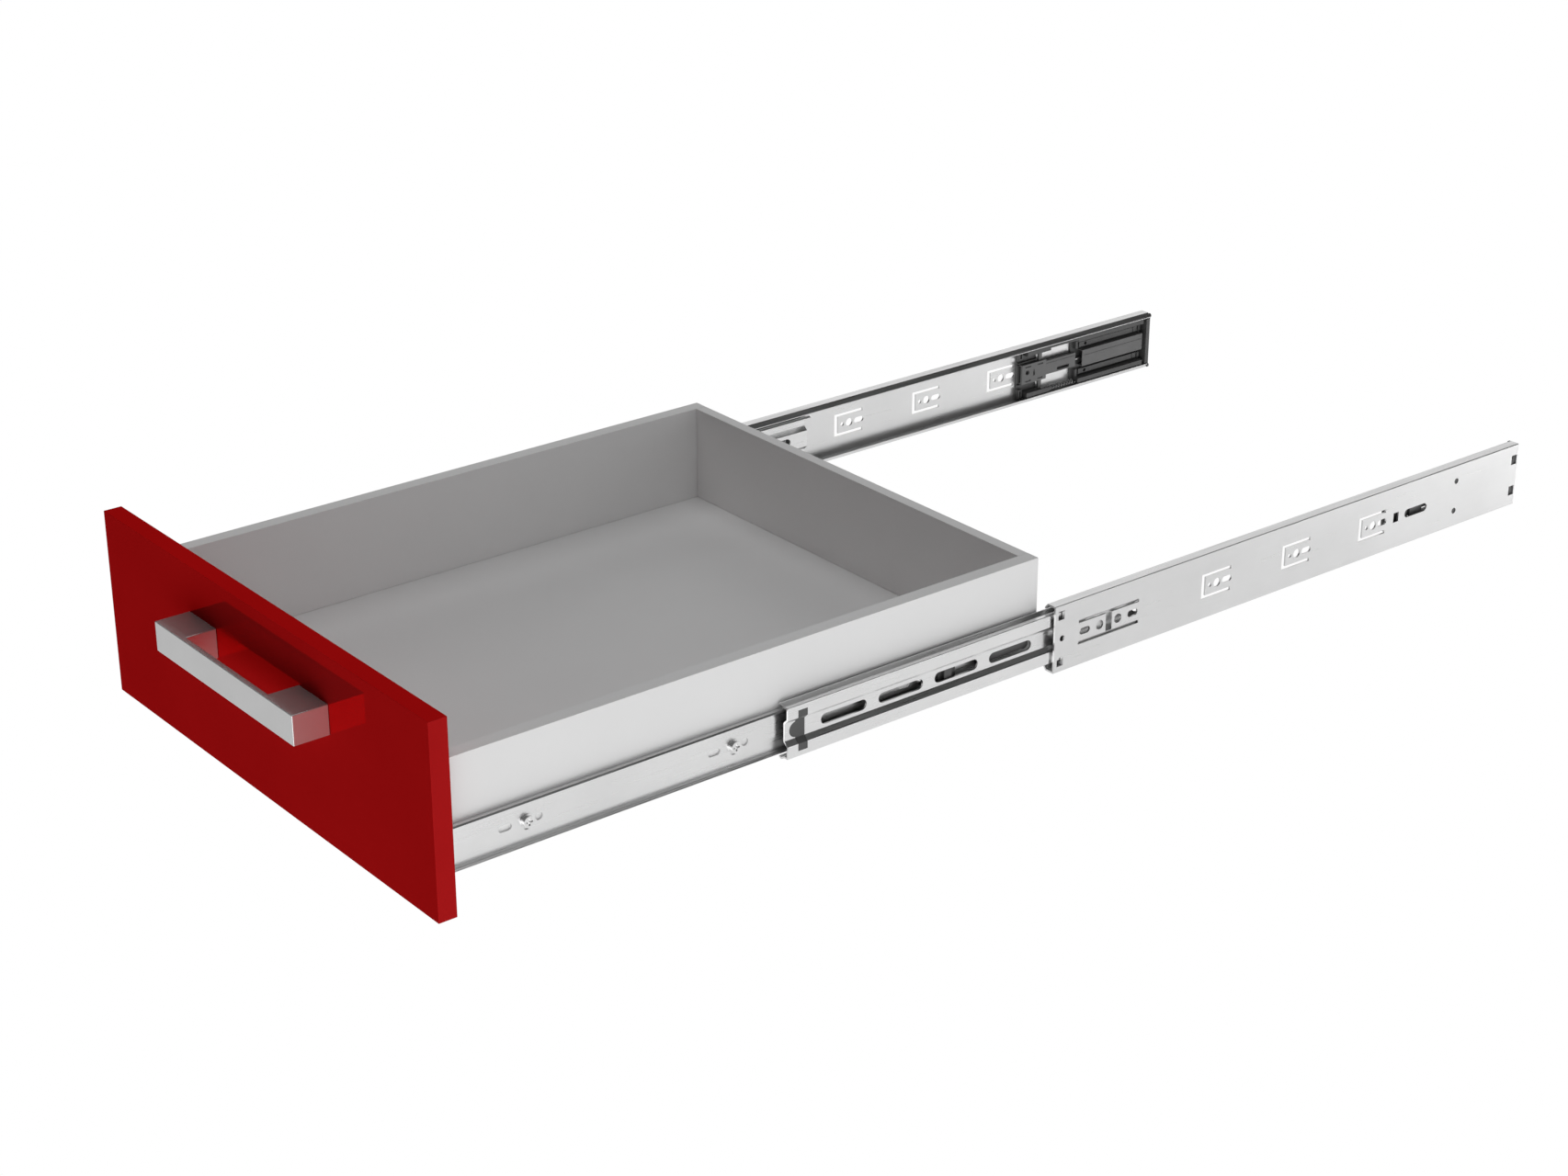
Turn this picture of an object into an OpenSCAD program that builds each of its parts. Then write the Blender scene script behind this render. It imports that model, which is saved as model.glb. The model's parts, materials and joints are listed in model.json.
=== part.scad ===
/* [Slides] */
// Length of the cabinet rail
slide_length = 450; // [440:1:460]
// Distance between the outer faces of the two cabinet rails
cabinet_opening = 376.6; // [340:0.2:420]
// Space that each slide takes up between the cabinet wall and the drawer side
side_space = 12.7; // [12.7:0.1:13]
// Height of the cabinet rail
slide_height = 46; // [45.8:0.1:46.4]
// Thickness of the rolled steel
sheet = 1.2; // [1.1:0.05:1.2]

/* [Travel] */
// How far the drawer moves from fully out to fully shut
drawer_travel = 438; // [430:1:438]
// How far the middle rail moves over the same travel
middle_travel = 211; // [205:1:211]
// Clearance between the shut drawer front and the cabinet rails
shut_gap = 4; // [3:0.5:6]

/* [Balls] */
// Diameter of the balls between cabinet rail and middle rail
outer_ball_d = 4.76; // [4.5:0.01:4.76]
// Diameter of the balls between middle rail and drawer rail
inner_ball_d = 3.18; // [3:0.01:3.18]
// Balls in each outer row
outer_balls = 7; // [4:1:7]
// Balls in each inner row
inner_balls = 9; // [4:1:9]

/* [Drawer] */
// Depth of the drawer box behind the front
box_depth = 437.6; // [420:0.2:437.6]
// Height of the drawer sides
box_height = 69.5; // [60:0.5:90]
// How far the box reaches below the middle of the slides
box_drop = 15.8; // [14:0.2:18]
// Thickness of the side boards
side_board = 9.8; // [9.6:0.2:12]
// Thickness of the back board
back_board = 8; // [8:0.5:12]
// Thickness of the bottom board
floor_board = 3; // [3:0.5:6]

/* [Front] */
// Width of the drawer front
front_width = 371.4; // [360:0.2:400]
// Height of the drawer front
front_height = 122.5; // [110:0.5:150]
// Thickness of the drawer front
front_board = 12; // [12:0.5:19]
// How far the front reaches below the middle of the slides
front_drop = 38.1; // [30:0.1:50]

/* [Handle] */
// Length of the handle
handle_length = 160; // [128:2:192]
// Height of the handle
handle_height = 19.2; // [14:0.2:24]
// How far the handle stands out of the front
handle_reach = 23.3; // [20:0.1:30]
// Width of each handle post
handle_post = 32; // [20:1:40]
// Thickness of the handle's bar
handle_bar = 3.6; // [3:0.1:6]
// Height of the handle's middle above the middle of the slides
handle_level = 44.6; // [30:0.1:60]

/* [Soft close] */
// How far the catch slider pulls the drawer in
catch_travel = 26; // [20:1:26]
// Length of the soft-close unit
unit_length = 137; // [136:1:138]

/* [Hidden] */
right = 1;
left = -1;
$fn = 48;

// How far joined solids reach into each other
bite = 0.01;

// Along the slide, Y is 0 at the front end of the cabinet rails. The drawer is drawn out at rest.
front_back_y = -drawer_travel - shut_gap;
front_face_y = front_back_y - front_board;
middle_front_y = -middle_travel;
middle_length = slide_length - unit_length - 2;
drawer_rail_front = 1.5;
drawer_rail_length = 441;
unit_y = slide_length - unit_length;

// Across one slide, T is 0 at the cabinet wall and grows towards the drawer.
flange_z = slide_height / 2 - sheet / 2;
outer_row_t = 5.6;
outer_row_z = flange_z - sheet / 2 - outer_ball_d / 2 - 0.12;
outer_groove_r = outer_ball_d / 2 + 0.12 + sheet / 2;
band_t = 3.6;
web_t = 6.6;
band_inner_z = 8.9;
web_half = 5.9;
middle_flange_z = outer_row_z - outer_groove_r;
drawer_web_t = side_space - sheet / 2;
drawer_flange_z = 13;
inner_row_t = 9.6;
inner_groove_r = inner_ball_d / 2 + 0.11 + sheet / 2;
inner_row_z = drawer_flange_z + inner_groove_r;

// Holes in the cabinet rail
big_hole_d = 6.3;
screw_slot = [9, 4.5];

// Ball cages
cage_sheet = 0.6;
outer_cage_t = 1.9;
outer_cage_front = 10;
outer_cage_length = 88;
inner_cage_front = -191;
inner_cage_length = 96;
inner_cage_web_t = 8;
inner_cage_side_t = 5;
ball_row_inset = 5;

// Stop clip at the front of the middle rail, measured from the rail's front end
clip_y = 8;
clip_width = 6.8;
clip_half = 13.2;
clip_round = 5;

// Soft-close unit, measured from its front end
unit_wall_top = 21;
plate_low = 1.4;
plate_high = 2.4;
peg_y = 70.7;
peg_z = 11.2;
hook_y = 133.2;
hook_z = 11.7;
cross_wall_y = [60, 64];
unit_end_y = 131;
hood_t = 9;
hood_z = [15.2, 18.6];
block_t = 7.2;
block_z = [14.9, 20.4];
spring_z = 18;
spring_d = 4.6;
spring_t = 4.9;
spring_front = 24;
over_spring_t = spring_t + spring_d / 2 + 0.4;
block_y = [5.5, spring_front - 4.5];
damper_t = 4.6;
damper_d = 5.8;
damper_front = 87;
damper_rod_d = 2;
head_t = [5.4, 7.2];
head_y = [1.6, 27];
head_z = 7.8;
skirt = 1;
arm_t = [3.6, 6.4];
arm_end = 59;
arm_z = [-5.2, 6];
cover_z = [-6.2, 7];
cover_y = [65, 131];
cover_t = 8.1;
rib = 0.3;

// Drawer rail fixings, measured from the back of the drawer front
screw_first = 53;
screw_pitch = 144.5;
screw_count = 3;
screw_depth = 8;
screw_places = [for (k = [0:screw_count - 1]) front_back_y + screw_first + k * screw_pitch];
activator_y = 360;
lever_y = 390;
rivet_hole_d = 4.2;

// Drawer box
box_half = cabinet_opening / 2 - side_space;
box_bottom = -box_drop;
box_top = box_height - box_drop;
inner_half = box_half - side_board;
rebate = 5;
board_play = 0.1;
dowel_d = 6;
dowel_depth = 16;
dowel_in_front = 8;
dowel_play = 0.1;
dowel_z = [0, 38];
handle_screw_x = handle_length / 2 - handle_post / 2;

// ---------- placing ----------

// Puts a slide's own T axis against the right or the left cabinet wall
module on_side(side) {
    translate([side * cabinet_opening / 2, 0, 0])
        if (side == right) mirror([1, 0, 0]) children();
        else children();
}

// Extrudes an outline drawn in T and Z along the slide
module along(y, length) {
    translate([0, y + length, 0]) rotate([90, 0, 0]) linear_extrude(length) children();
}

// Extrudes an outline drawn in Y and Z through the slide's thickness
module across(t0, t1) {
    translate([t0, 0, 0]) rotate([90, 0, 90]) linear_extrude(t1 - t0) children();
}

// Draws an outline above and below the middle of the slide
module up_and_down() {
    children();
    mirror([0, 1, 0]) children();
}

// Draws a solid above and below the middle of the slide
module up_and_down_3d() {
    children();
    mirror([0, 0, 1]) children();
}

// ---------- outline pieces ----------

// A straight stretch of sheet between two points
module leg(p, q, thick = sheet) {
    translate(p) rotate(atan2(q[1] - p[1], q[0] - p[0]))
        translate([0, -thick / 2]) square([norm(q - p), thick]);
    translate(p) circle(d = thick);
    translate(q) circle(d = thick);
}

// A round stretch of sheet, between two angles that are under 180 degrees apart
module bend(centre, radius, from, to) {
    middle = (from + to) / 2;
    reach = 2 * radius;
    wedge = [[0, 0], reach * [cos(from), sin(from)], 2 * reach * [cos(middle), sin(middle)],
        reach * [cos(to), sin(to)]];
    translate(centre) intersection() {
        difference() {
            circle(radius + sheet / 2);
            circle(radius - sheet / 2);
        }
        polygon(wedge);
    }
}

// A rectangle between two places along the slide and two heights
module box_2d(y, z) {
    translate([y[0], z[0]]) square([y[1] - y[0], z[1] - z[0]]);
}

// A slot with round ends
module obround(length, width) {
    square([length - width, width], center = true);
    for (end = [-1, 1]) translate([end * (length - width) / 2, 0]) circle(d = width);
}

// ---------- steel rails ----------

// The lip slopes down past the outer balls, at a steady distance from them
module cabinet_rail_outline() {
    lip_tilt = 51;
    lip_length = 3.5;
    lip_t = outer_row_t + outer_groove_r * tan(lip_tilt / 2);
    lip_run = lip_length * [cos(lip_tilt), -sin(lip_tilt)];
    up_and_down() {
        leg([sheet / 2, -bite], [sheet / 2, flange_z]);
        leg([sheet / 2, flange_z], [lip_t, flange_z]);
        leg([lip_t, flange_z], [lip_t, flange_z] + lip_run);
    }
}

// A tongue cut free on three sides, with its own screw holes
module spring_tongue_cut() {
    tongue_length = 27;
    tongue_half = 8.8;
    front_gap = 3.5;
    side_gap = 2.3;
    box_2d([0, front_gap], [-tongue_half, tongue_half]);
    up_and_down() box_2d([0, tongue_length], [tongue_half - side_gap, tongue_half]);
    translate([7.6, 0]) circle(d = 3.2);
    translate([14.3, 0]) circle(d = big_hole_d);
    translate([23.6, 0]) obround(screw_slot[0], screw_slot[1]);
}

// Two long slits with a row of screw holes between them, drawn around their middle
module front_hole_group() {
    slit_length = 53;
    slit_z = 7.4;
    slit_width = 2.3;
    square([5.3, 2 * slit_z], center = true);
    up_and_down() translate([0, slit_z]) square([slit_length, slit_width], center = true);
    for (end = [-1, 1]) {
        translate([end * 8, 0]) circle(d = big_hole_d);
        translate([end * 21.1, 0]) obround(screw_slot[0], screw_slot[1]);
    }
}

module cabinet_rail_cuts() {
    group_y = 47;
    tongue_first = 131;
    tongue_pitch = 76.2;
    corner_window = [5.3, 6];
    hook_window = [5.4, 7];
    up_and_down() {
        translate([5.2, 16]) square(corner_window, center = true);
        translate([unit_y + peg_y, peg_z]) circle(d = 4.2);
        translate([unit_y + hook_y, hook_z]) square(hook_window, center = true);
    }
    translate([6.4, 0]) circle(d = 4);
    translate([group_y, 0]) front_hole_group();
    for (k = [0:2]) translate([tongue_first + k * tongue_pitch, 0]) spring_tongue_cut();
    translate([unit_y + 8.4, 0]) square([5.2, 7], center = true);
    translate([unit_y + 28.8, 0]) obround(23, 6);
}

// Small tabs that stop the outer ball cage at the front
module cabinet_rail_tabs() {
    tab = [1.2, sheet, 6];
    up_and_down_3d() translate([sheet - bite, 8, 13]) cube(tab);
}

module cabinet_rail() {
    color("silver") {
        difference() {
            along(0, slide_length) cabinet_rail_outline();
            across(-1, sheet + 1) cabinet_rail_cuts();
        }
        cabinet_rail_tabs();
    }
}

// Past the shelf under the outer balls the sheet rises and folds over the inner balls. The rising stretch
// touches both grooves' circles, one from above and the other from below.
module middle_rail_outline() {
    fold_down = 25;
    last_length = 1.5;
    between = [inner_row_t - outer_row_t, inner_row_z - outer_row_z];
    rise = atan2(between[1], between[0]) + asin((outer_groove_r + inner_groove_r) / norm(between));
    crest_angle = 90 + (rise - fold_down) / 2;
    crest_reach = inner_groove_r / cos((rise + fold_down) / 2);
    valley = [outer_row_t + outer_groove_r * tan(rise / 2), middle_flange_z];
    crest = [inner_row_t, inner_row_z] + crest_reach * [cos(crest_angle), sin(crest_angle)];
    up_and_down() {
        leg([web_t, -bite], [web_t, web_half]);
        leg([web_t, web_half], [band_t, band_inner_z]);
        leg([band_t, band_inner_z], [band_t, middle_flange_z]);
        leg([band_t, middle_flange_z], valley);
        leg(valley, crest);
        leg(crest, crest + last_length * [cos(fold_down), -sin(fold_down)]);
    }
}

module middle_clip_window(gap) {
    translate([clip_y - gap, -clip_half - gap]) square([clip_width + 2 * gap, 2 * (clip_half + gap)]);
    translate([clip_y + 0.5, 0]) circle(clip_round + gap);
}

module middle_rail_slots() {
    slot_length = 35.2;
    slot_pitch = 44.6;
    slot_first = 45;
    slot_count = 4;
    slot_width = 7;
    rear_slot_length = 11;
    rear_slot_inset = 21;
    for (k = [0:slot_count - 1]) translate([slot_first + k * slot_pitch, 0]) obround(slot_length, slot_width);
    translate([middle_length - rear_slot_inset, 0]) obround(rear_slot_length, slot_width);
}

module middle_rail() {
    color("gainsboro") difference() {
        along(middle_front_y, middle_length) middle_rail_outline();
        across(0, side_space) translate([middle_front_y, 0]) {
            middle_clip_window(0.15);
            middle_rail_slots();
        }
    }
}

// The clip fills its window flush with the rail's own folded shape
module middle_rail_clip() {
    clip_sheet = sheet + 0.1;
    color("dimgray") intersection() {
        along(middle_front_y, clip_y + clip_width + 1) up_and_down() {
            leg([web_t, -bite], [web_t, web_half], clip_sheet);
            leg([web_t, web_half], [band_t, band_inner_z], clip_sheet);
            leg([band_t, band_inner_z], [band_t, clip_half + 1], clip_sheet);
        }
        across(0, side_space) translate([middle_front_y, 0]) middle_clip_window(0);
    }
}

// The flange is flat next to the web and curls up past the inner balls
module drawer_rail_outline() {
    curl_end = 225;
    up_and_down() {
        leg([drawer_web_t, -bite], [drawer_web_t, drawer_flange_z]);
        leg([drawer_web_t, drawer_flange_z], [inner_row_t, drawer_flange_z]);
        bend([inner_row_t, inner_row_z], inner_groove_r, curl_end, 270);
    }
}

module drawer_rail_cuts() {
    for (y = screw_places) translate([y, 0]) {
        translate([-14.2, 0]) obround(8.8, 4.4);
        translate([0, -1.4]) rotate(90) obround(9, 4.4);
        translate([8.2, 0]) circle(d = 5);
    }
    translate([front_back_y + lever_y, 0]) circle(d = rivet_hole_d);
}

module drawer_rail() {
    color("whitesmoke") difference() {
        along(front_back_y + drawer_rail_front, drawer_rail_length) drawer_rail_outline();
        across(drawer_web_t - 1, side_space + 1) drawer_rail_cuts();
    }
}

// ---------- ball cages and balls ----------

// Centres of one row of balls
function row(front, length, count) =
    [for (k = [0:count - 1]) front + ball_row_inset + k * (length - 2 * ball_row_inset) / (count - 1)];

outer_row = row(outer_cage_front, outer_cage_length, outer_balls);
inner_row = row(inner_cage_front, inner_cage_length, inner_balls);

module ball_row(places, t, z, d) {
    for (y = places, side = [-1, 1]) translate([t, y, side * z]) sphere(d = d);
}

module ball_holes(places, t, z, d) {
    for (y = places, side = [-1, 1]) translate([t, y, side * z]) cylinder(d = d, h = 3, center = true);
}

module outer_ball_cage() {
    color("darkgray") difference() {
        along(outer_cage_front, outer_cage_length) up_and_down() {
            leg([outer_cage_t, -bite], [outer_cage_t, outer_row_z], cage_sheet);
            leg([outer_cage_t, outer_row_z], [outer_row_t + 1.9, outer_row_z], cage_sheet);
        }
        ball_holes(outer_row, outer_row_t, outer_row_z, outer_ball_d + 0.24);
        across(0, 4) translate([outer_cage_front + outer_cage_length / 2, 0]) obround(60, 14);
    }
}

module inner_ball_cage() {
    slope_top = 10.4;
    slope_bottom = slope_top - inner_cage_web_t + inner_cage_side_t;
    shelf_z = inner_row_z - 0.3;
    bridge = 7;
    color("darkgray") difference() {
        along(inner_cage_front, inner_cage_length) up_and_down() {
            leg([inner_cage_web_t, -bite], [inner_cage_web_t, slope_bottom], cage_sheet);
            leg([inner_cage_web_t, slope_bottom], [inner_cage_side_t, slope_top], cage_sheet);
            leg([inner_cage_side_t, slope_top], [inner_cage_side_t, shelf_z], cage_sheet);
            leg([inner_cage_side_t, shelf_z], [inner_row_t + 1, shelf_z], cage_sheet);
        }
        ball_holes(inner_row, inner_row_t, shelf_z, inner_ball_d + 0.2);
        across(0, inner_cage_web_t + 1) translate([inner_cage_front, 0])
            box_2d([bridge, inner_cage_length - bridge], [-web_half, web_half]);
    }
}

// ---------- soft-close unit ----------

module housing_plate() {
    spring_window = [5.6, 18.8];
    difference() {
        box_2d([0, unit_length - 3.5], [-unit_wall_top, unit_wall_top]);
        up_and_down() box_2d([20, 57], spring_window);
        box_2d([4.5, 17], [-5.4, 5.4]);
        box_2d([20, 56], [-4.4, 4.4]);
        box_2d([damper_front - 1, unit_length - 6], [-3.3, 3.3]);
    }
}

// The upper half of the walls that stand on the plate. The lower half is its mirror image.
module housing_walls() {
    foot = plate_high - bite;
    wall = 0.8;
    rib_t = 5.6;
    guide_t = 4.6;
    panel_t = 5.2;
    frame_y = [0, 3.2];
    frame_low = 12.4;
    rear_y = [cross_wall_y[0], unit_end_y];
    guide_z = [head_z + wall, head_z + 2 * wall];
    panel_z = [9.2, 13];
    pocket_y = [122.6, 128.6];
    across(foot, block_t) {
        box_2d(block_y, block_z);
        box_2d(rear_y, block_z);
    }
    across(foot, hood_t) {
        box_2d(block_y, hood_z);
        box_2d(rear_y, hood_z);
    }
    across(over_spring_t, hood_t) box_2d([block_y[0], 30], hood_z);
    across(foot, rib_t) {
        difference() {
            box_2d(frame_y, [frame_low, block_z[1]]);
            box_2d([frame_y[0] + wall, frame_y[1] - wall], [frame_low + wall, unit_wall_top]);
        }
        box_2d([rear_y[0], rear_y[0] + 2], [guide_z[0], block_z[0] + bite]);
    }
    across(foot, guide_t) box_2d([0, block_y[1]], guide_z);
    across(foot, panel_t) difference() {
        box_2d([cross_wall_y[1], unit_end_y], panel_z);
        translate([peg_y, peg_z]) circle(d = 2.8);
        box_2d(pocket_y, [panel_z[0] - 1, panel_z[1] + 1]);
    }
    across(foot, panel_t - rib) box_2d([pocket_y[0] + 1, pocket_y[1] - 1], panel_z);
}

// A strip that keeps the upper spring from springing out
module spring_bar() {
    bar_z = [17, hood_z[1]];
    across(over_spring_t, hood_t) box_2d([block_y[0], unit_end_y], bar_z);
}

module soft_close_housing() {
    peg_low = sheet - 0.7;
    peg_d = 3.8;
    hook = [2.6, 4];
    front_lip_t = 3.4;
    color("dimgray") translate([0, unit_y, 0]) {
        across(plate_low, plate_high) housing_plate();
        up_and_down_3d() {
            housing_walls();
            across(peg_low, plate_low + bite) {
                translate([peg_y, peg_z]) circle(d = peg_d);
                translate([hook_y - 1.1, hook_z - 1]) square(hook, center = true);
            }
        }
        spring_bar();
        across(plate_high - bite, front_lip_t) box_2d([0, 3], [-7.4, 7.4]);
    }
}

module damper_cover() {
    wall = 0.6;
    crease_z = [2.2, 2.7];
    color("gray") translate([0, unit_y, 0]) {
        across(cover_t - wall, cover_t) box_2d(cover_y, cover_z);
        across(plate_high + 0.1, cover_t - wall + bite) {
            box_2d(cover_y, [cover_z[0], cover_z[0] + wall]);
            box_2d(cover_y, [cover_z[1] - wall, cover_z[1]]);
        }
        across(cover_t - bite, cover_t + rib) box_2d([cover_y[0] + 2, cover_y[1]], crease_z);
    }
}

module damper_cylinder() {
    bore_d = 2.4;
    color("silver") difference() {
        translate([damper_t, unit_y + damper_front, 0]) rotate([-90, 0, 0])
            cylinder(d = damper_d, h = unit_length - damper_front - 7);
        translate([damper_t, unit_y + damper_front - 1, 0]) rotate([-90, 0, 0])
            cylinder(d = bore_d, h = catch_travel + 14);
    }
}

module damper_rod() {
    color("lightgray") translate([damper_t, unit_y + arm_end - 4, 0]) rotate([-90, 0, 0])
        cylinder(d = damper_rod_d, h = damper_front - arm_end + 16);
}

// A thin head that the drawer catches, an arm to the damper and a bar that the springs push on
module catch_slider() {
    wing_y = [spring_front - 3.4, spring_front - 0.2];
    wing_half = spring_z + 2;
    wing_top = 5.4;
    ridge_z = [3.4, 3.9];
    groove_z = [5.2, 6.4];
    color("dimgray") translate([0, unit_y, 0]) difference() {
        union() {
            across(head_t[0], head_t[1]) box_2d(head_y, [-head_z, head_z]);
            up_and_down_3d() across(arm_t[0], head_t[0] + bite) box_2d(head_y, [head_z - skirt, head_z]);
            across(arm_t[0], wing_top + bite) box_2d(wing_y, [-wing_half, wing_half]);
            across(arm_t[0], arm_t[1]) box_2d([head_y[1] - bite, arm_end], arm_z);
            across(arm_t[1] - bite, arm_t[1] + rib) box_2d([head_y[1] + 1, arm_end], ridge_z);
        }
        across(head_t[1] - 0.8, head_t[1] + 1) {
            up_and_down() {
                box_2d([5, 11], groove_z);
                box_2d([18, 23.4], groove_z);
            }
            box_2d([13.4, 14.8], [-2.6, 2.6]);
        }
        across(0, head_t[1] + 1) {
            translate([7.4, 1]) circle(d = 3.8);
            box_2d([14, 15.2], [-2.2, 0.4]);
            box_2d([39.5, 52.5], [-4, -1.6]);
        }
        translate([damper_t, arm_end - 4, 0]) rotate([-90, 0, 0]) cylinder(d = damper_rod_d + 0.1, h = 10);
    }
}

module spring(level) {
    wall = 0.9;
    end_gap = 0.4;
    color("slategray") difference() {
        translate([spring_t, unit_y + spring_front, level]) rotate([-90, 0, 0])
            cylinder(d = spring_d, h = cross_wall_y[0] - spring_front - end_gap);
        translate([spring_t, unit_y + spring_front - 1, level]) rotate([-90, 0, 0])
            cylinder(d = spring_d - 2 * wall, h = cross_wall_y[0]);
    }
}

module end_cap() {
    plug_y = [-3.4, bite];
    plug_low = sheet + 0.1;
    narrow_half = 18.4;
    lip = 0.9;
    lip_half = flange_z - sheet;
    nub_d = 3.4;
    nub_t = 8.6;
    color("dimgray") translate([0, slide_length, 0]) {
        across(plug_low, block_t) box_2d(plug_y, [-block_z[1], block_z[1]]);
        across(plug_low, hood_t + 0.8) box_2d(plug_y, [-narrow_half, narrow_half]);
        across(plug_low, nub_t + 0.6) box_2d([0, lip], [-lip_half, lip_half]);
        up_and_down_3d() translate([nub_t, lip, lip_half - 0.4]) rotate([90, 0, 0])
            cylinder(d = nub_d, h = lip);
    }
}

// ---------- parts on the drawer rail ----------

// A block with a pin that catches the slider's head
module activator() {
    block_t = 10.3;
    pin_t = 7.7;
    color("dimgray") translate([0, front_back_y + activator_y, 0]) {
        across(block_t, side_space - sheet) box_2d([-6, 8], [-6, 6]);
        across(pin_t, block_t + bite) box_2d([-3, 3], [-4, 4]);
    }
}

module release_lever() {
    lever_t = [9.3, 11.2];
    lever_length = 34;
    color("dimgray") translate([0, front_back_y + lever_y, 0]) difference() {
        across(lever_t[0], lever_t[1]) {
            circle(d = 10);
            box_2d([0, lever_length], [-3, 3]);
            translate([lever_length, 0]) circle(d = 7);
        }
        across(lever_t[0] - 1, lever_t[1] + 1) circle(d = rivet_hole_d);
        across(lever_t[1] - 0.6, lever_t[1] + 1) box_2d([8, lever_length - 4], [-1, 1]);
    }
}

module lever_rivet() {
    head_t = [8.5, 9.05];
    color("silver") translate([0, front_back_y + lever_y, 0]) {
        across(head_t[1], side_space - 0.2) circle(d = rivet_hole_d - 0.2);
        across(head_t[0], head_t[1] + bite) circle(d = 6.4);
    }
}

module rail_screw() {
    head_d = 7;
    head = 2;
    washer_d = 8.4;
    washer = 0.8;
    shank_d = 3.4;
    seat = side_space - sheet;
    difference() {
        union() {
            across(seat - washer - head, seat - washer) circle(d = head_d);
            across(seat - washer - bite, seat) circle(d = washer_d);
            across(seat - bite, side_space + screw_depth) circle(d = shank_d);
        }
        for (turn = [0, 90]) across(seat - washer - head - 1, seat - washer - head / 2) rotate(turn)
            square([4.6, 1.1], center = true);
    }
}

module rail_screws() {
    color("gainsboro") for (y = screw_places) translate([0, y, 0]) rail_screw();
}

// ---------- drawer ----------

// Places for the dowels that join a side board to the front
module dowel_shapes(d, depth_front, depth_side) {
    for (side = [left, right], z = dowel_z)
        translate([side * (box_half - side_board / 2), front_back_y - depth_front, z])
            rotate([-90, 0, 0]) cylinder(d = d, h = depth_front + depth_side);
}

module drawer_side(side) {
    color("lightgray") difference() {
        translate([min(side * inner_half, side * box_half), front_back_y, box_bottom])
            cube([side_board, box_depth, box_height]);
        translate([side * inner_half - rebate, front_back_y - 1, box_bottom - 1])
            cube([2 * rebate, box_depth + 2, floor_board + board_play + 1]);
        for (y = screw_places) translate([side * (box_half - screw_depth - 0.2), y, 0])
            rotate([0, side * 90, 0]) cylinder(d = 3.5, h = side_board);
        dowel_shapes(dowel_d + dowel_play, 1, dowel_depth + 0.5);
    }
}

module drawer_back() {
    half = inner_half - board_play;
    floor_top = box_bottom + floor_board + board_play;
    color("lightgray") translate([-half, front_back_y + box_depth - back_board, floor_top])
        cube([2 * half, back_board, box_top - floor_top]);
}

module drawer_bottom() {
    half = inner_half + rebate - board_play;
    color("lightgray") translate([-half, front_back_y + board_play, box_bottom])
        cube([2 * half, box_depth - 2 * board_play, floor_board]);
}

module drawer_front() {
    color("firebrick") difference() {
        translate([-front_width / 2, front_face_y, -front_drop])
            cube([front_width, front_board, front_height]);
        dowel_shapes(dowel_d + dowel_play, dowel_in_front + 0.5, 1);
        for (side = [left, right]) translate([side * handle_screw_x, front_back_y + 1, handle_level])
            rotate([90, 0, 0]) cylinder(d = 4.3, h = front_board + 2);
    }
}

module drawer_dowels() {
    color("burlywood") dowel_shapes(dowel_d, dowel_in_front, dowel_depth);
}

module handle() {
    gap = handle_length - 2 * handle_post;
    color("silver") difference() {
        translate([-handle_length / 2, front_face_y - handle_reach, handle_level - handle_height / 2])
            cube([handle_length, handle_reach, handle_height]);
        translate([-gap / 2, front_face_y - handle_reach + handle_bar, handle_level - handle_height])
            cube([gap, handle_reach, 2 * handle_height]);
        for (side = [left, right]) translate([side * handle_screw_x, front_face_y + 1, handle_level])
            rotate([90, 0, 0]) cylinder(d = 4.1, h = 14);
    }
}

module handle_screws() {
    head = 2.4;
    color("silver") for (side = [left, right])
        translate([side * handle_screw_x, front_back_y, handle_level]) rotate([90, 0, 0]) difference() {
            union() {
                translate([0, 0, -head]) cylinder(d = 8, h = head);
                translate([0, 0, -bite]) cylinder(d = 4, h = front_board + 10);
            }
            for (turn = [0, 90]) rotate(turn) translate([-2.5, -0.6, -head - 1]) cube([5, 1.2, 2.2]);
        }
}

on_side(right) cabinet_rail();  // cabinet_rail_right
on_side(left) cabinet_rail();  // cabinet_rail_left
on_side(right) end_cap();  // end_cap_right
on_side(left) end_cap();  // end_cap_left
on_side(right) soft_close_housing();  // soft_close_housing_right
on_side(left) soft_close_housing();  // soft_close_housing_left
on_side(right) damper_cover();  // damper_cover_right
on_side(left) damper_cover();  // damper_cover_left
on_side(right) damper_cylinder();  // damper_cylinder_right
on_side(left) damper_cylinder();  // damper_cylinder_left
on_side(right) catch_slider();  // catch_slider_right
on_side(left) catch_slider();  // catch_slider_left
on_side(right) damper_rod();  // damper_rod_right
on_side(left) damper_rod();  // damper_rod_left
on_side(right) spring(spring_z);  // upper_spring_right
on_side(left) spring(spring_z);  // upper_spring_left
on_side(right) spring(-spring_z);  // lower_spring_right
on_side(left) spring(-spring_z);  // lower_spring_left
on_side(right) outer_ball_cage();  // outer_ball_cage_right
on_side(left) outer_ball_cage();  // outer_ball_cage_left
on_side(right) color("white") ball_row(outer_row, outer_row_t, outer_row_z, outer_ball_d);  // outer_balls_right
on_side(left) color("white") ball_row(outer_row, outer_row_t, outer_row_z, outer_ball_d);  // outer_balls_left
on_side(right) middle_rail();  // middle_rail_right
on_side(left) middle_rail();  // middle_rail_left
on_side(right) middle_rail_clip();  // middle_rail_clip_right
on_side(left) middle_rail_clip();  // middle_rail_clip_left
on_side(right) inner_ball_cage();  // inner_ball_cage_right
on_side(left) inner_ball_cage();  // inner_ball_cage_left
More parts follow.
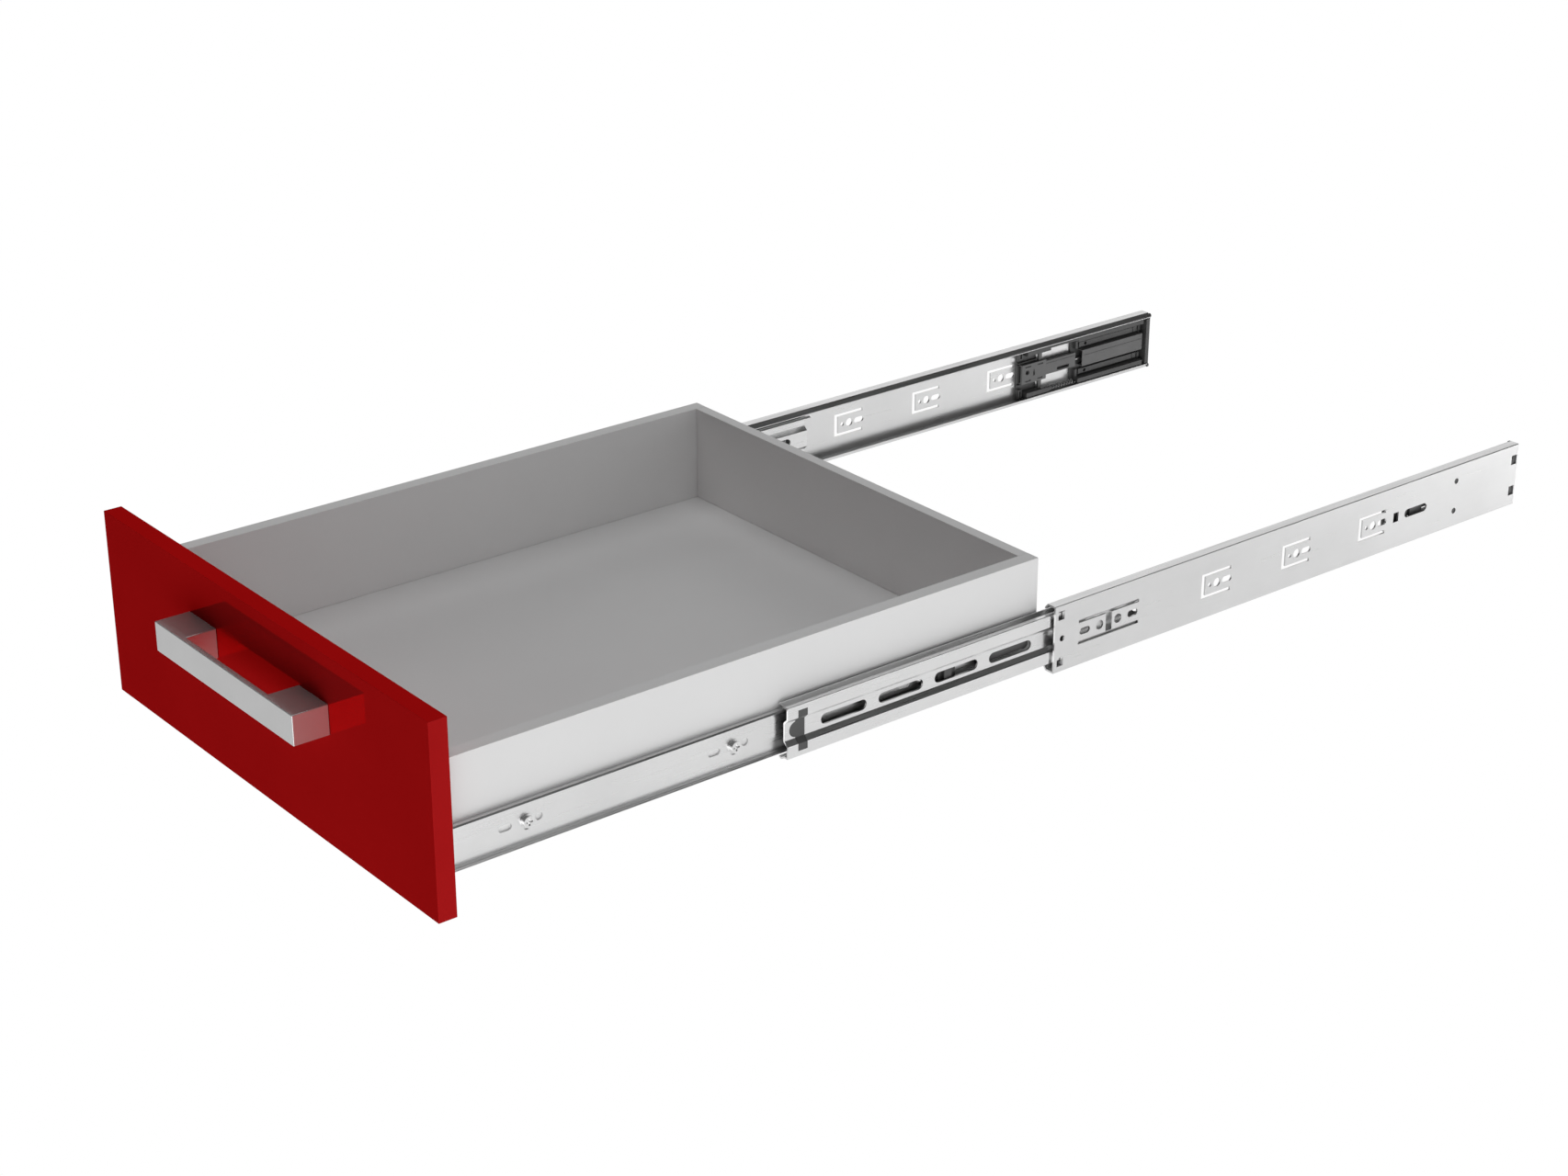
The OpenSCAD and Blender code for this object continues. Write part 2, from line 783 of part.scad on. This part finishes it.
on_side(right) color("white") ball_row(inner_row, inner_row_t, inner_row_z, inner_ball_d);  // inner_balls_right
on_side(left) color("white") ball_row(inner_row, inner_row_t, inner_row_z, inner_ball_d);  // inner_balls_left
on_side(right) drawer_rail();  // drawer_rail_right
on_side(left) drawer_rail();  // drawer_rail_left
on_side(right) activator();  // activator_right
on_side(left) activator();  // activator_left
on_side(right) release_lever();  // release_lever_right
on_side(left) release_lever();  // release_lever_left
on_side(right) lever_rivet();  // lever_rivet_right
on_side(left) lever_rivet();  // lever_rivet_left
on_side(right) rail_screws();  // rail_screws_right
on_side(left) rail_screws();  // rail_screws_left
drawer_side(right);  // drawer_side_right
drawer_side(left);  // drawer_side_left
drawer_back();
drawer_bottom();
drawer_front();
drawer_dowels();
handle();
handle_screws();
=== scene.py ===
"""Looks of a pair of soft-close drawer slides that carry a small drawer. Metres, in the CAD model's frame."""
import json
import math

import bmesh
import bpy
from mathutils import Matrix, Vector


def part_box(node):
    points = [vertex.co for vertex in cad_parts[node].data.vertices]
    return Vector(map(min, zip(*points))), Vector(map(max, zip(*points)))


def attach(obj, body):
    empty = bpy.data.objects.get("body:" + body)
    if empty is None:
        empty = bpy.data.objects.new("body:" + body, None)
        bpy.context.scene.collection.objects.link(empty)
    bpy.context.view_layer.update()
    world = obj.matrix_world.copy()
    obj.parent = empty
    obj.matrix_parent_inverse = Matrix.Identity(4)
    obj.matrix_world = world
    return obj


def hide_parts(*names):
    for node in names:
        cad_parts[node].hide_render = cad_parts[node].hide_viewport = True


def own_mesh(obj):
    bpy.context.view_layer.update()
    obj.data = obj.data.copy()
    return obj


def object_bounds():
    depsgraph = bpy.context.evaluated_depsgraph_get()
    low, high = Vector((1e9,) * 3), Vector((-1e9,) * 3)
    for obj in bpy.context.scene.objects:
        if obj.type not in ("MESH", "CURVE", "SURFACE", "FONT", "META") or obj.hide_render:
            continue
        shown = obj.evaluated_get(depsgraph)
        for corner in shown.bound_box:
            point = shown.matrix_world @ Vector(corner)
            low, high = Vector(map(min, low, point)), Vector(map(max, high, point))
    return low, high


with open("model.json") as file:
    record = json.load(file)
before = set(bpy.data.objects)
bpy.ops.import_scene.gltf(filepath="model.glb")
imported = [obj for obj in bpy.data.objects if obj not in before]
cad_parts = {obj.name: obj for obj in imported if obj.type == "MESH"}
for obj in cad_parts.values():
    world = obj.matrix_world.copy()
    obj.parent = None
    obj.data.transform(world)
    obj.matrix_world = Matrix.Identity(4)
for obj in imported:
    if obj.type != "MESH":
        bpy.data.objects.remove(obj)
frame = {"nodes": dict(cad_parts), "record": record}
cad_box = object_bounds()
scene = bpy.context.scene
nodes = frame["nodes"]
bodies = frame["record"]["behaviour"]["bodies"]
body_of_node = {name: body for body, names in bodies.items() for name in names}
slot_of_node = {part["node"]: part["material_slot"] for part in frame["record"]["subparts"]}

# ---------- camera ----------

CAMERA_AZIMUTH = math.radians(51.406)
CAMERA_ELEVATION = math.radians(24.063)
CAMERA_PLACE = Vector((1.3866, -1.1727, 0.7812))
LENS_MM = 67.68


def add_camera():
    data = bpy.data.cameras.new("camera")
    data.lens = LENS_MM
    data.sensor_width = 36
    data.clip_start = 0.05
    data.clip_end = 50
    camera = bpy.data.objects.new("camera", data)
    scene.collection.objects.link(camera)
    camera.location = CAMERA_PLACE
    ahead = Vector((-math.sin(CAMERA_AZIMUTH) * math.cos(CAMERA_ELEVATION),
                    math.cos(CAMERA_AZIMUTH) * math.cos(CAMERA_ELEVATION),
                    -math.sin(CAMERA_ELEVATION)))
    camera.rotation_mode = "QUATERNION"
    camera.rotation_quaternion = ahead.to_track_quat("-Z", "Y")
    scene.camera = camera


add_camera()

# ---------- studio ----------

FLOOR_DROP = 1.4
FLOOR_LEVEL = cad_box[0].z - FLOOR_DROP
STUDIO_MIDDLE = Vector((0, -0.05, 0))
# name, place, size in metres, watts
SOFTBOXES = (
    ("key", (2.0, -1.5, -0.75), (2.4, 1.2), 14),
    ("side", (3.0, 0.6, 0.4), (3.4, 2.0), 26),
    ("overhead", (0, -0.35, 2.4), (2.8, 2.2), 19),
    ("rear_right", (2.9, 4.2, -1.0), (1.4, 0.9), 11),
    ("back_left", (-3.2, 2.5, 1.9), (4.4, 2.6), 35),
)
SKY_STRENGTH = 0.03
FLOOR_GLOW = 0.58


def add_area_light(name, place, size, watts):
    data = bpy.data.lights.new(name, "AREA")
    data.shape = "RECTANGLE"
    data.size, data.size_y = size
    data.energy = watts
    light = bpy.data.objects.new(name, data)
    scene.collection.objects.link(light)
    light.location = place
    light.rotation_mode = "QUATERNION"
    light.rotation_quaternion = (STUDIO_MIDDLE - Vector(place)).to_track_quat("-Z", "Y")


def white_to_camera(tree, other, output):
    """Shows plain white where the camera sees the backdrop itself; every other ray meets the given shader."""
    path = tree.nodes.new("ShaderNodeLightPath")
    white = tree.nodes.new("ShaderNodeEmission" if "Surface" in output.inputs else "ShaderNodeBackground")
    white.inputs["Color"].default_value = (1, 1, 1, 1)
    mix = tree.nodes.new("ShaderNodeMixShader")
    tree.links.new(path.outputs["Is Camera Ray"], mix.inputs[0])
    tree.links.new(other, mix.inputs[1])
    tree.links.new(white.outputs[0], mix.inputs[2])
    tree.links.new(mix.outputs[0], output.inputs["Surface"])


def add_world():
    world = bpy.data.worlds.new("studio")
    world.use_nodes = True
    scene.world = world
    tree = world.node_tree
    sky = tree.nodes["Background"]
    sky.inputs["Color"].default_value = (1, 1, 1, 1)
    sky.inputs["Strength"].default_value = SKY_STRENGTH
    white_to_camera(tree, sky.outputs[0], tree.nodes["World Output"])


def add_floor():
    bpy.ops.mesh.primitive_plane_add(size=30, location=(0, 0, FLOOR_LEVEL))
    floor = bpy.context.object
    floor.name = "floor"
    paint = bpy.data.materials.new("floor_paint")
    paint.use_nodes = True
    tree = paint.node_tree
    shader = tree.nodes["Principled BSDF"]
    shader.inputs["Base Color"].default_value = (0.8, 0.8, 0.8, 1)
    shader.inputs["Roughness"].default_value = 0.9
    shader.inputs["Emission Color"].default_value = (1, 1, 1, 1)
    shader.inputs["Emission Strength"].default_value = FLOOR_GLOW
    white_to_camera(tree, shader.outputs[0], tree.nodes["Material Output"])
    floor.data.materials.append(paint)


scene.view_settings.view_transform = "Standard"
add_world()
for softbox in SOFTBOXES:
    add_area_light(*softbox)
add_floor()

# ---------- materials ----------


class Graph:
    """A material's node tree, with short ways to add and join nodes."""

    def __init__(self, name):
        self.material = bpy.data.materials.new(name)
        self.material.use_nodes = True
        self.tree = self.material.node_tree
        self.shader = self.tree.nodes["Principled BSDF"]

    def set(self, **values):
        for key, value in values.items():
            self.shader.inputs[key.replace("_", " ")].default_value = value
        return self

    def node(self, kind, **settings):
        made = self.tree.nodes.new(kind)
        for key, value in settings.items():
            setattr(made, key, value)
        return made

    def join(self, source, target):
        self.tree.links.new(source, target)

    def place(self, scale):
        """Object coordinates, stretched by scale, in metres."""
        coordinates = self.node("ShaderNodeTexCoord")
        mapping = self.node("ShaderNodeMapping")
        mapping.inputs["Scale"].default_value = scale
        self.join(coordinates.outputs["Object"], mapping.inputs["Vector"])
        return mapping.outputs["Vector"]

    def noise(self, scale, detail=4, stretch=(1, 1, 1), roughness=0.55):
        texture = self.node("ShaderNodeTexNoise")
        texture.inputs["Scale"].default_value = scale
        texture.inputs["Detail"].default_value = detail
        texture.inputs["Roughness"].default_value = roughness
        self.join(self.place(stretch), texture.inputs["Vector"])
        return texture.outputs["Fac"]

    def ramp(self, value, low, high, start=0.3, stop=0.7):
        """Maps a grey value to a colour between low and high."""
        ramp = self.node("ShaderNodeValToRGB")
        ramp.color_ramp.elements[0].position = start
        ramp.color_ramp.elements[1].position = stop
        ramp.color_ramp.elements[0].color = (*low, 1)
        ramp.color_ramp.elements[1].color = (*high, 1)
        self.join(value, ramp.inputs["Fac"])
        return ramp.outputs["Color"]

    def span(self, value, low, high, start=0.3, stop=0.7):
        """Maps a grey value to a number between low and high."""
        spread = self.node("ShaderNodeMapRange")
        spread.inputs["From Min"].default_value = start
        spread.inputs["From Max"].default_value = stop
        spread.inputs["To Min"].default_value = low
        spread.inputs["To Max"].default_value = high
        self.join(value, spread.inputs["Value"])
        return spread.outputs["Result"]

    def bump(self, height, distance, strength=0.5):
        bump = self.node("ShaderNodeBump")
        bump.inputs["Distance"].default_value = distance
        bump.inputs["Strength"].default_value = strength
        self.join(height, bump.inputs["Height"])
        self.join(bump.outputs["Normal"], self.shader.inputs["Normal"])


def grey(value):
    return (value, value, value)


def rolled_steel(name, low, high, rough, streak=900):
    """Zinc-plated strip with fine lines drawn along its length and a faint cloudiness."""
    g = Graph(name).set(Metallic=1.0)
    lines = g.noise(streak, detail=3, stretch=(1, 0.02, 1))
    clouds = g.noise(14, detail=5)
    g.join(g.ramp(clouds, low, high), g.shader.inputs["Base Color"])
    g.join(g.span(lines, rough - 0.05, rough + 0.07), g.shader.inputs["Roughness"])
    g.bump(lines, 0.00003, 0.25)
    return g.material


def moulded_plastic(name, low, high, rough):
    """Dark plastic with a fine even grain."""
    g = Graph(name)
    grain = g.noise(2600, detail=2)
    clouds = g.noise(60)
    g.join(g.ramp(clouds, low, high), g.shader.inputs["Base Color"])
    g.join(g.span(grain, rough - 0.06, rough + 0.06), g.shader.inputs["Roughness"])
    g.bump(grain, 0.00002, 0.3)
    return g.material


def laminate(name, low, high):
    """Light satin board with a barely visible texture."""
    g = Graph(name)
    grain = g.noise(1100, detail=3)
    clouds = g.noise(5)
    g.join(g.ramp(clouds, low, high), g.shader.inputs["Base Color"])
    g.join(g.span(grain, 0.42, 0.52), g.shader.inputs["Roughness"])
    g.bump(grain, 0.00002, 0.2)
    return g.material


def lacquer(name, low, high):
    """Deep gloss lacquer that mirrors in its own colour."""
    g = Graph(name)
    g.set(Metallic=0.3, Roughness=0.04, Specular_IOR_Level=0.0, Specular_Tint=(1, 0.02, 0.02, 1))
    clouds = g.noise(9)
    ripple = g.noise(55, detail=2)
    g.join(g.ramp(clouds, low, high), g.shader.inputs["Base Color"])
    g.bump(ripple, 0.00002, 0.08)
    return g.material


def polished(name, low, high, rough):
    """Bright metal with faint wear in its gloss."""
    g = Graph(name).set(Metallic=1.0)
    wear = g.noise(220, detail=5)
    g.join(g.ramp(wear, low, high), g.shader.inputs["Base Color"])
    g.join(g.span(wear, rough, rough + 0.06), g.shader.inputs["Roughness"])
    return g.material


def satin_metal(name, low, high, rough):
    """Fine brushed plating that mirrors softly and keeps some of its own grey."""
    g = Graph(name).set(Metallic=0.72)
    brush = g.noise(1600, detail=3, stretch=(0.03, 1, 1))
    clouds = g.noise(40)
    g.join(g.ramp(clouds, low, high), g.shader.inputs["Base Color"])
    g.join(g.span(brush, rough, rough + 0.08), g.shader.inputs["Roughness"])
    g.bump(brush, 0.00001, 0.15)
    return g.material


def beech(name):
    """Pale wood with its grain along Y."""
    g = Graph(name).set(Roughness=0.6)
    grain = g.noise(120, stretch=(1, 0.1, 1))
    g.join(g.ramp(grain, (0.45, 0.29, 0.16), (0.62, 0.44, 0.27)), g.shader.inputs["Base Color"])
    return g.material


materials = {
    "zinc_steel": rolled_steel("zinc_steel", grey(0.70), grey(0.76), 0.32),
    "bright_steel": rolled_steel("bright_steel", grey(0.76), grey(0.82), 0.30),
    "cage_steel": rolled_steel("cage_steel", grey(0.50), grey(0.60), 0.35),
    "damper_steel": rolled_steel("damper_steel", grey(0.60), grey(0.70), 0.25),
    "spring_steel": polished("spring_steel", grey(0.52), grey(0.64), 0.25),
    "ball_steel": polished("ball_steel", grey(0.80), grey(0.88), 0.06),
    "screw_steel": polished("screw_steel", grey(0.74), grey(0.84), 0.28),
    "handle_metal": satin_metal("handle_metal", grey(0.68), grey(0.72), 0.16),
    "black_plastic": moulded_plastic("black_plastic", grey(0.065), grey(0.085), 0.42),
    "grey_plastic": moulded_plastic("grey_plastic", grey(0.125), grey(0.145), 0.40),
    "box_board": laminate("box_board", grey(0.86), grey(0.90)),
    "red_lacquer": lacquer("red_lacquer", (0.39, 0.009, 0.010), (0.43, 0.011, 0.012)),
    "beech": beech("beech"),
}

# ---------- pieces ----------

SAME_POINT = 1e-6
FLAT_WITHIN = math.radians(1)
SHARP_BEYOND = math.radians(40)


def dress(obj, slot):
    obj.data.materials.clear()
    obj.data.materials.append(materials[slot])


def new_piece(name, mesh, slot, stands_for):
    """A new piece that takes over from a CAD node and rides on that node's body."""
    piece = bpy.data.objects.new(name, mesh)
    scene.collection.objects.link(piece)
    dress(piece, slot)
    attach(piece, body_of_node[stands_for])
    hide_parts(stands_for)
    return piece


def rounded_copy(node, width, segments=3):
    """The CAD node's own solid with its sharp edges rounded."""
    mesh = nodes[node].data.copy()
    mesh.name = node + "_look"
    shape = bmesh.new()
    shape.from_mesh(mesh)
    bmesh.ops.remove_doubles(shape, verts=shape.verts, dist=SAME_POINT)
    bmesh.ops.dissolve_limit(shape, angle_limit=FLAT_WITHIN, verts=shape.verts, edges=shape.edges)
    shape.to_mesh(mesh)
    shape.free()
    piece = new_piece(node + "_look", mesh, slot_of_node[node], node)
    bevel = piece.modifiers.new("rounding", "BEVEL")
    bevel.width = width
    bevel.segments = segments
    bevel.limit_method = "ANGLE"
    bevel.angle_limit = SHARP_BEYOND
    bevel.harden_normals = True
    return piece


for name, obj in nodes.items():
    dress(obj, slot_of_node[name])

rounded_copy("drawer_front", 0.0012, 4)
rounded_copy("handle", 0.0005)
for board in ("drawer_side_right", "drawer_side_left", "drawer_back"):
    rounded_copy(board, 0.0003, 2)


def coil_mesh(name, radius, wire, length, turns):
    """A spring drawn along +Y from the origin and capped at both ends. wire is the radius of its wire."""
    around = 8
    steps_per_turn = 20
    steps = int(turns * steps_per_turn)
    forward = Vector((0, 1, 0))
    mesh = bpy.data.meshes.new(name)
    shape = bmesh.new()
    rings = []
    for step in range(steps + 1):
        share = step / steps
        turn = 2 * math.pi * turns * share
        outward = Vector((math.cos(turn), 0, math.sin(turn)))
        centre = radius * outward + (wire + share * (length - 2 * wire)) * forward
        ring = []
        for corner in range(around):
            angle = 2 * math.pi * corner / around
            spoke = math.cos(angle) * outward + math.sin(angle) * forward
            ring.append(shape.verts.new(centre + wire * spoke))
        rings.append(ring)
    for ring, following in zip(rings, rings[1:]):
        for corner in range(around):
            beside = (corner + 1) % around
            shape.faces.new((ring[corner], following[corner], following[beside], ring[beside]))
    shape.faces.new(rings[0])
    shape.faces.new(reversed(rings[-1]))
    bmesh.ops.recalc_face_normals(shape, faces=shape.faces)
    for face in shape.faces:
        face.smooth = True
    shape.to_mesh(mesh)
    shape.free()
    return mesh


SPRING_WIRE_RADIUS = 0.00038
SPRING_TURNS = 12
for side in ("right", "left"):
    for level in ("upper", "lower"):
        node = f"{level}_spring_{side}"
        low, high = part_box(node)
        reach = (high.z - low.z) / 2 - SPRING_WIRE_RADIUS
        mesh = coil_mesh(node + "_coil", reach, SPRING_WIRE_RADIUS, high.y - low.y, SPRING_TURNS)
        coil = new_piece(node + "_coil", mesh, "spring_steel", node)
        start = Vector(((low.x + high.x) / 2, low.y, (low.z + high.z) / 2))
        for vertex in coil.data.vertices:
            vertex.co += start
        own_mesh(coil)
